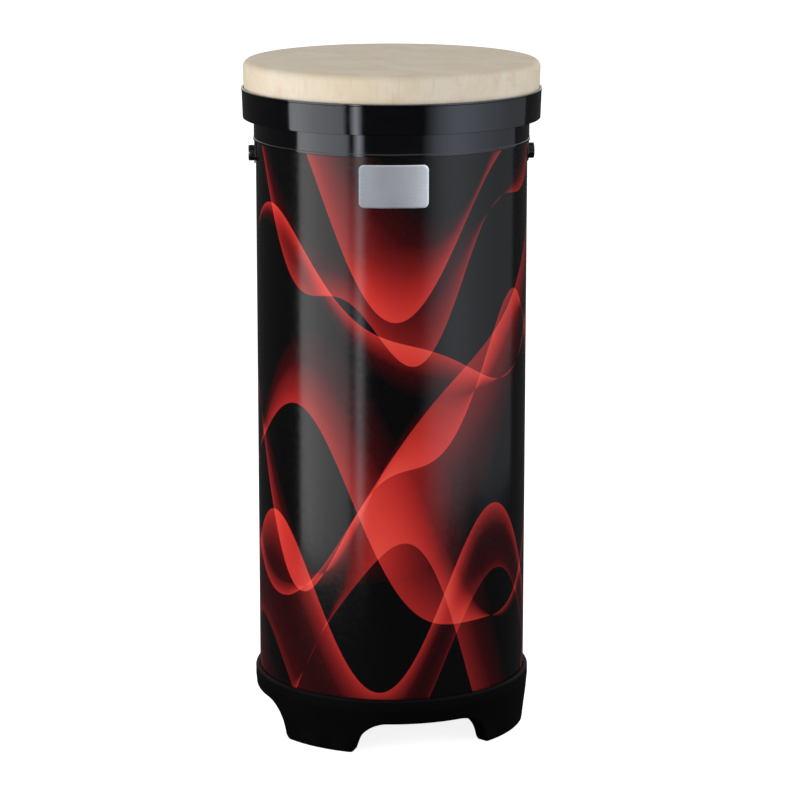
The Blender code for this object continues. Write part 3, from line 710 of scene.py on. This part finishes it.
# Collar, tabs and seat
collar = dict(
    wall=0.0013, roll=0.0005, rollHeight=0.0022, flangeThickness=0.0015, drop=0.0114,
    tabWidth=0.018, tabRoot=0.0010, tabThickness=0.0009, screwHole=0.0028, edge=0.0003,
    tabRays=120, tabRings=7, spacing=0.0015,
)
collarInside = filmRadius + gap
collarOutside = collarInside + collar["wall"]
tabInside = collarInside + (collar["wall"] - collar["tabThickness"]) / 3
tabOutside = tabInside + collar["tabThickness"]


def tabGrids():
    # Two tabs bent to the shell. A tab is a ring of rays from its screw hole to its outline: a
    # half circle below the screw, straight sides above it, which run up into the sleeve by
    # tabRoot.
    size = collar
    half, reach = size["tabWidth"] / 2, size["drop"] + size["tabRoot"]
    corner = math.atan2(reach, half)
    rays = np.linspace(0, wholeTurn, size["tabRays"], endpoint=False)
    angle = np.union1d(rays, [corner, math.pi - corner])
    cosine, sine = np.cos(angle), np.sin(angle)
    least = 1e-6  # keeps the quotients finite
    upper = np.minimum(half / np.maximum(np.abs(cosine), least), reach / np.maximum(sine, least))
    outline = np.where(sine > 0, upper, half)
    hole, edge = size["screwHole"], size["edge"]
    shares = np.linspace(0, 1, size["tabRings"])
    rings = [(hole + (outline - edge - hole) * share, tabOutside) for share in shares]
    rings.append((outline - edge * easeShare, tabOutside - edge * easeShare))
    rings.append((outline, tabOutside - edge))
    rings += [(hole + (outline - hole) * share, tabInside) for share in shares[::-1]]
    distance = np.stack([np.broadcast_to(ring, angle.shape) for ring, _ in rings])
    out = np.array([height for _, height in rings])[:, None]
    return [(bent(distance * cosine, distance * sine, out, azimuth, lockHeight), True)
            for azimuth in lockAzimuths.values()]


def makeCollar():
    # A turned sleeve with a rolled bottom edge and a flange
    size = collar
    bottom, top = lockHeight + size["drop"], topOf("collar")
    flangeTop = bottomOf("seat_ring") - gap
    flangeBottom = flangeTop - size["flangeThickness"]
    flange = radiusOf("collar")
    roll, rollTop = collarOutside + size["roll"], bottom + size["rollHeight"]
    sleeve = rounded([
        (collarInside, bottom, rounds["slight"]), (roll, bottom, rounds["soft"]),
        (roll, rollTop, rounds["slight"]), (collarOutside, rollTop, rounds["slight"]),
        (collarOutside, flangeBottom, rounds["broad"]),
        (flange, flangeBottom, rounds["fine"]), (flange, flangeTop, rounds["fine"]),
        (collarOutside, flangeTop, rounds["soft"]), (collarOutside, top, rounds["soft"]),
        (collarInside, top, rounds["slight"]),
    ], steps=6)
    grids = [(turned(spread(sleeve, size["spacing"])), True), *tabGrids()]
    makePiece("collar_sleeve", grids, "blackGloss", "drum", "collar")


seat = dict(lip=0.0008,  # wall of the lip that centres the head unit
            spacing=0.002)


def makeSeat():
    # A turned ring on the flange, with a lip inside the rim
    low, high, ledge = bottomOf("seat_ring"), topOf("seat_ring"), bottomOf("head_rim") - gap
    inside, outside = collarOutside + gap, radiusOf("seat_ring")
    lip = inside + seat["lip"]
    ring = rounded([
        (inside, low, 0), (outside, low, rounds["fine"]), (outside, ledge, rounds["eased"]),
        (lip, ledge, 0), (lip, high, rounds["fine"]), (inside, high, rounds["fine"]),
    ], steps=4)
    grid = turned(spread(ring, seat["spacing"]))
    makePiece("seat_gasket", [(grid, True)], "seatRubber", "drum", "seat_ring")


# Knobs, screws and nuts
lock = dict(
    turns={"left": 0.0, "right": 62.0},  # degrees that the slot has turned
    radius=0.00675, thickness=0.0046, flutes=14, fluteDepth=0.00035, seatGap=0.0001,
    edge=0.0007, slotWidth=0.0020, slotDepth=0.0014, slotEase=0.00012,
    backInset=0.002, floorInset=0.003,  # innermost rings of the knob's back and the slot's floor
    knobColumns=168, slotColumns=20, edgeRows=7,
    screwRadius=0.0025, rootDepth=0.0003, pitch=0.0008, screwLength=0.0165, grip=0.0026,
    pointShare=0.75, pointLength=0.0012, screwColumns=48, screwRows=170,
    nutFlange=0.0085, nutThickness=0.0012, nutWall=0.001, clearance=0.0003, nutSetback=0.0008,
)


def knobGrids():
    # A fluted disc, radius - fluteDepth (1 - cos(flutes angle)) / 2, with two D-shaped lands on
    # its face that leave the slot between them. The lands' outer edge is a quarter circle.
    size = lock

    def fluted(angle, inset):
        wave = (1 - np.cos(size["flutes"] * angle)) / 2
        return size["radius"] - size["fluteDepth"] * wave - inset

    base = tabOutside + size["seatGap"]
    face = tabOutside + gap + size["thickness"]
    floor = face - size["slotDepth"]
    ease = size["slotEase"]
    columns = size["knobColumns"]
    angle = np.linspace(0, wholeTurn, columns, endpoint=False)
    rows = []
    for inset, out in ((size["backInset"], base), (ease, base), (0.0, base + ease),
                       (0.0, floor - ease), (ease, floor), (size["floorInset"], floor)):
        spoke = fluted(angle, inset)
        rows.append(np.stack([spoke * np.cos(angle), spoke * np.sin(angle), out + 0 * angle], -1))
    grids = [np.stack(rows)]
    bend = np.linspace(0, math.pi / 2, size["edgeRows"])
    insets = np.concatenate([[0.0], size["edge"] * (1 - np.cos(bend))])
    heights = np.concatenate([[floor - ease], face - size["edge"] * (1 - np.sin(bend))])
    for turn in (1, -1):
        rows = []
        for inset, out in zip(insets, heights):
            chord = size["slotWidth"] / 2 + ease * inset / size["edge"]
            start = math.asin(chord / (size["radius"] - inset))
            arc = np.linspace(start, math.pi - start, columns // 2)
            spoke = fluted(arc, inset)
            ends = spoke[-1] * math.cos(arc[-1]), spoke[0] * math.cos(arc[0])
            line = np.linspace(*ends, size["slotColumns"])[1:-1]
            x = np.concatenate([spoke * np.cos(arc), line])
            y = np.concatenate([spoke * np.sin(arc), np.full(len(line), chord)])
            rows.append(np.stack([turn * x, turn * y, out + 0 * x], -1))
        grids.append(np.stack(rows))
    return grids


def makeLocks():
    # Knob, threaded shank and tee nut at each side. The shank's radius follows the helix
    # radius - rootDepth (1 - |2 f - 1|), where f is the fraction of along / pitch - angle / full
    # turn, and narrows to pointShare of it over pointLength at the end.
    size = lock
    shankEnd = tabOutside + gap + size["grip"]
    angle = np.linspace(0, wholeTurn, size["screwColumns"], endpoint=False)
    cosine, sine = np.cos(angle), np.sin(angle)
    along = np.linspace(shankEnd - size["screwLength"], shankEnd, size["screwRows"])[:, None]
    fraction = np.mod(along / size["pitch"] - angle / wholeTurn, 1.0)
    thread = size["screwRadius"] - size["rootDepth"] * (1 - np.abs(2 * fraction - 1))
    blunt = size["pointShare"]
    fromEnd = (along - along[0]) / size["pointLength"]
    thread = thread * np.minimum(1.0, blunt + fromEnd * (1 - blunt))
    inside = shellRadius - shell["wall"]
    flange = size["nutFlange"]
    flangeOut = math.sqrt(inside ** 2 - flange ** 2) - gap
    flangeIn = flangeOut - size["nutThickness"]
    bore = size["screwRadius"] + size["clearance"]
    barrel, end = bore + size["nutWall"], shellRadius - size["nutSetback"]
    nut = rounded([
        (bore, flangeIn, rounds["slight"]), (flange, flangeIn, rounds["soft"]),
        (flange, flangeOut, rounds["slight"]), (barrel, flangeOut, 0),
        (barrel, end, rounds["slight"]), (bore, end, rounds["slight"]),
    ], steps=4)
    for side, azimuth in lockAzimuths.items():
        spot, body = (azimuth, lockHeight), "lock_" + side
        roll = size["turns"][side]
        shapes = [(radial(*np.moveaxis(grid, -1, 0), *spot, roll), False) for grid in knobGrids()]
        makePiece("lock_knob_" + side, shapes, "blackSatin", body, "knob_" + side)
        shank = radial(thread * cosine, thread * sine, along, *spot, roll)
        makePiece("lock_thread_" + side, [(shank, False)], "zincSteel", body,
                  "lock_screw_" + side)
        radius, out = nut[..., 0], nut[..., 1]
        ring = radial(radius * cosine, radius * sine, out, *spot)
        makePiece("lock_nut_" + side, [(ring, True)], "zincSteel", "drum", "tee_nut_" + side)


# Head unit
head = dict(
    taper=0.034, edgeRound=0.006, skin=0.0008, poleRadius=0.002, skinSpacing=0.002,
    rimWall=0.0052, rimSlope=0.0004, rimSpacing=0.004,
    bandGap=0.0006, bandWall=0.0012, lip=0.0004, lipHeight=0.0016, bandSpacing=0.0015,
)


def makeHead():
    # Turned sections whose outside leans in going down:
    # radius = skinFoot + taper (height - rimBottom)
    size = head
    top, rimBottom = topOf("head_skin"), bottomOf("head_rim")
    rimInside = collarOutside + gap + seat["lip"] + gap
    skinFoot = rimInside + size["rimWall"] + gap + size["skin"]

    def lean(height, inset=0.0):
        return skinFoot + size["taper"] * (height - rimBottom) - inset

    skin, liner, bend = size["skin"], size["skin"] + gap, size["edgeRound"]
    outline = rounded([
        (size["poleRadius"], top, 0), (lean(top), top, bend),
        (skinFoot, rimBottom, rounds["slight"]), (skinFoot - skin, rimBottom, rounds["slight"]),
        (lean(top, skin), top - skin, bend - skin), (size["poleRadius"], top - skin, 0),
    ], steps=10)
    grid = turned(spread(outline, size["skinSpacing"], loop=False))
    makePiece("drum_skin", [(grid, False)], "drumSkin", "head", "head_skin")
    rimTop = top - liner
    rim = rounded([
        (skinFoot - liner, rimBottom, rounds["soft"]), (lean(rimTop, liner), rimTop, bend - liner),
        (rimInside, rimTop - size["rimSlope"], rounds["eased"]),
        (rimInside, rimBottom, rounds["eased"]),
    ], steps=6)
    grid = turned(spread(rim, size["rimSpacing"]))
    makePiece("head_hoop", [(grid, True)], "rimFibre", "head", "head_rim")
    bandTop, bandBottom = topOf("head_band"), bottomOf("head_band")
    insideTop, insideBottom = (lean(height, -size["bandGap"]) for height in (bandTop, bandBottom))
    outsideTop, outsideBottom = insideTop + size["bandWall"], insideBottom + size["bandWall"]
    lip, lipBottom = size["lip"], bandTop - size["lipHeight"]
    underLip = outsideTop - size["taper"] * (size["lipHeight"] + lip)
    band = rounded([
        (insideBottom, bandBottom, rounds["slight"]), (outsideBottom, bandBottom, rounds["soft"]),
        (underLip, lipBottom - lip, rounds["soft"]), (outsideTop + lip, lipBottom, rounds["fine"]),
        (outsideTop + lip, bandTop, rounds["eased"]), (insideTop, bandTop, rounds["fine"]),
    ], steps=6)
    grid = turned(spread(band, size["bandSpacing"]))
    makePiece("head_hem_band", [(grid, True)], "blackGloss", "head", "head_band")


# Plate
plate = dict(corner=0.0045, thickness=0.0008, azimuth=0.9, drop=0.0063, width=0.0585,
             height=0.0360, padThickness=0.0004, ease=0.00025, spacing=0.0015, rings=16,
             innermost=0.04)


def makePlate():
    # A rounded rectangle in rings that shrink to its middle, bent to the shell, with eased edges
    size = plate
    inside = filmRadius + gap + size["padThickness"] + gap
    outside = inside + size["thickness"]
    halfWidth, halfHeight, corner = size["width"] / 2, size["height"] / 2, size["corner"]
    outline = spread(rounded([
        (halfWidth, halfHeight, corner), (-halfWidth, halfHeight, corner),
        (-halfWidth, -halfHeight, corner), (halfWidth, -halfHeight, corner),
    ], steps=8), size["spacing"])[:, 0]
    ease = size["ease"]
    shares = np.linspace(1, size["innermost"], size["rings"])
    rings = [(share, 0.0, inside) for share in shares[::-1]]
    rings.append((1.0, 0.0, outside - ease))
    rings.append((1.0, ease * easeShare, outside - ease * easeShare))
    rings += [(share, ease, outside) for share in shares]
    share, inset, out = (np.array(column)[:, None] for column in zip(*rings))
    side = outline[:, 0] * share * (1 - inset / halfWidth)
    up = outline[:, 1] * share * (1 - inset / halfHeight)
    height = lockHeight + collar["drop"] - size["drop"] - halfHeight
    grid = bent(side, up, out, size["azimuth"], height)
    makePiece("front_plate", [(grid, False)], "brushedPlate", "drum", "badge_plate")


keptNodes = {"port_screw_1": "zincSteel", "port_screw_2": "zincSteel", "port_screw_3": "zincSteel",
             "port_screw_4": "zincSteel", "badge_pad": "padFoam"}


def dressKeptNodes():
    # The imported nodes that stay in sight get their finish
    for label, name in keptNodes.items():
        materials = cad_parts[label].data.materials
        materials.clear()
        materials.append(finishes[name])


makeFootRing()
makeShell()
makePort()
makeCollar()
makeSeat()
makeLocks()
makeHead()
makePlate()
dressKeptNodes()


# Studio: a pale floor and a white room, a dark cloth in the gloss, soft panels at both sides
studio = dict(
    floorSize=40.0, floorColour=(0.80, 0.80, 0.80), ambient=0.45, floorGlow=0.85,
    roomColour=(1.0, 1.0, 1.0), clothHeight=0.0004, clothColour=(0.004, 0.004, 0.004),
)


def makeSheet(name, material, height):
    # A level square round the origin
    half = studio["floorSize"] / 2
    corners = [(-half, -half, height), (half, -half, height),
               (half, half, height), (-half, half, height)]
    mesh = bpy.data.meshes.new(name)
    mesh.from_pydata(corners, [], [(0, 1, 2, 3)])
    mesh.materials.append(material)
    sheet = bpy.data.objects.new(name, mesh)
    scene.collection.objects.link(sheet)
    return sheet


def backgroundRays(tree):
    # 1 for the rays that see the background as white
    path = node(tree, "LightPath", {}).outputs
    seen = calc(tree, "MAXIMUM", path["Is Camera Ray"], path["Is Glossy Ray"])
    return calc(tree, "MAXIMUM", seen, path["Is Transmission Ray"])


def makeFloor():
    # The floor glows up to white where the background is seen, and keeps the darkest part of the
    # shadow
    material = bpy.data.materials.new("paleFloor")
    material.use_nodes = True
    tree = material.node_tree
    tree.nodes.remove(tree.nodes["Principled BSDF"])
    strength = calc(tree, "MULTIPLY", backgroundRays(tree), studio["floorGlow"])
    glow = node(tree, "Emission", {"Strength": strength})
    diffuse = node(tree, "BsdfDiffuse", {"Color": studio["floorColour"]})
    lit = node(tree, "AddShader", {0: glow.outputs[0], 1: diffuse.outputs[0]})
    wire(tree, tree.nodes["Material Output"].inputs["Surface"], lit.outputs[0])
    makeSheet("floor", material, 0.0)


def makeCloth():
    # A dark sheet that only gloss sees, so that black finishes stay black over the pale floor
    material = newMaterial("darkCloth", studio["clothColour"], {"Roughness": 1.0})[0]
    cloth = makeSheet("cloth", material, studio["clothHeight"])
    cloth.visible_camera = False
    cloth.visible_diffuse = False
    cloth.visible_transmission = False
    cloth.visible_shadow = False


def makeWorld():
    # White to the rays that see the background, and the plain ambient level to the rest
    world = bpy.data.worlds.new("studioRoom")
    world.use_nodes = True
    scene.world = world
    tree = world.node_tree
    ambient = studio["ambient"]
    strength = calc(tree, "MULTIPLY_ADD", backgroundRays(tree), 1 - ambient, ambient)
    background = tree.nodes["Background"].inputs
    wire(tree, background["Strength"], strength)
    wire(tree, background["Color"], studio["roomColour"])


# Azimuths of a panel's two edges, distance, lowest and highest point, colour, and radiance from
# the first edge to the second as (share of the width, radiance)
panels = (
    dict(edges=(-79, -31), distance=0.65, low=0.01, high=0.88, colour=(1.0, 1.0, 1.0),
         profile=((0.0, 0.0), (0.05, 2.25), (0.23, 2.35), (0.50, 1.80), (0.75, 1.53),
                  (0.92, 1.38), (1.0, 0.0))),
    dict(edges=(-30, -20.3), distance=0.80, low=0.01, high=1.0, colour=(0.96, 0.96, 1.0),
         profile=((0.0, 0.0), (0.5, 3.4), (1.0, 0.0))),
    dict(edges=(23, 70), distance=0.85, low=0.02, high=1.3, colour=(0.86, 0.92, 1.0),
         profile=((0.0, 0.0), (0.08, 0.23), (0.24, 0.72), (0.39, 1.05), (0.54, 1.19),
                  (0.71, 1.13), (1.0, 0.83))),
    dict(edges=(70, 118), distance=0.85, low=0.02, high=1.3, colour=(0.86, 0.92, 1.0),
         profile=((0.0, 0.83), (0.29, 0.61), (0.51, 0.43), (0.76, 0.31), (1.0, 0.25))),
)


def makePanels():
    # A flat panel square to its middle azimuth, whose radiance changes along its width
    for index, size in enumerate(panels):
        start, end = size["edges"]
        low, high, distance = size["low"], size["high"], size["distance"]
        azimuth = math.radians((start + end) / 2)
        width = 2 * distance * math.tan(math.radians(end - start) / 2)
        peak = max(radiance for _, radiance in size["profile"])
        light = bpy.data.lights.new(f"panel_{index + 1}", "AREA")
        light.shape = "RECTANGLE"
        light.size = width
        light.size_y = high - low
        light.energy = peak * math.pi * width * (high - low)
        light.color = size["colour"]
        light.use_nodes = True
        tree = light.node_tree
        along = node(tree, "NewGeometry", {}).outputs["Parametric"]
        ramp = node(tree, "ValToRGB", {0: node(tree, "SeparateXYZ", {0: along}).outputs["X"]})
        greys = [(share, (radiance / peak,) * 3) for share, radiance in size["profile"]]
        wire(tree, tree.nodes["Emission"].inputs["Color"], fillRamp(ramp, greys))
        panel = bpy.data.objects.new(light.name, light)
        panel.location = (distance * math.sin(azimuth), -distance * math.cos(azimuth),
                          (low + high) / 2)
        panel.rotation_euler = (math.pi / 2, 0.0, azimuth)
        panel.visible_camera = False
        scene.collection.objects.link(panel)


# Distance from the axis and height, in metres, pitch in degrees, lens and sensor in millimetres
viewpoint = dict(back=2.739, height=0.890, pitch=12.44, lens=144.6, sensor=36.0, shift=0.0105)


def makeCamera():
    # In front of the drum, looking slightly down
    camera = bpy.data.cameras.new("camera")
    camera.lens = viewpoint["lens"]
    camera.sensor_width = viewpoint["sensor"]
    camera.shift_x = viewpoint["shift"]
    holder = bpy.data.objects.new("camera", camera)
    holder.location = (0.0, -viewpoint["back"], viewpoint["height"])
    holder.rotation_euler = (math.radians(90 - viewpoint["pitch"]), 0.0, 0.0)
    scene.collection.objects.link(holder)
    scene.camera = holder


makeFloor()
makeCloth()
makeWorld()
makePanels()
makeCamera()
scene.view_settings.view_transform = "Standard"
print("studio made")
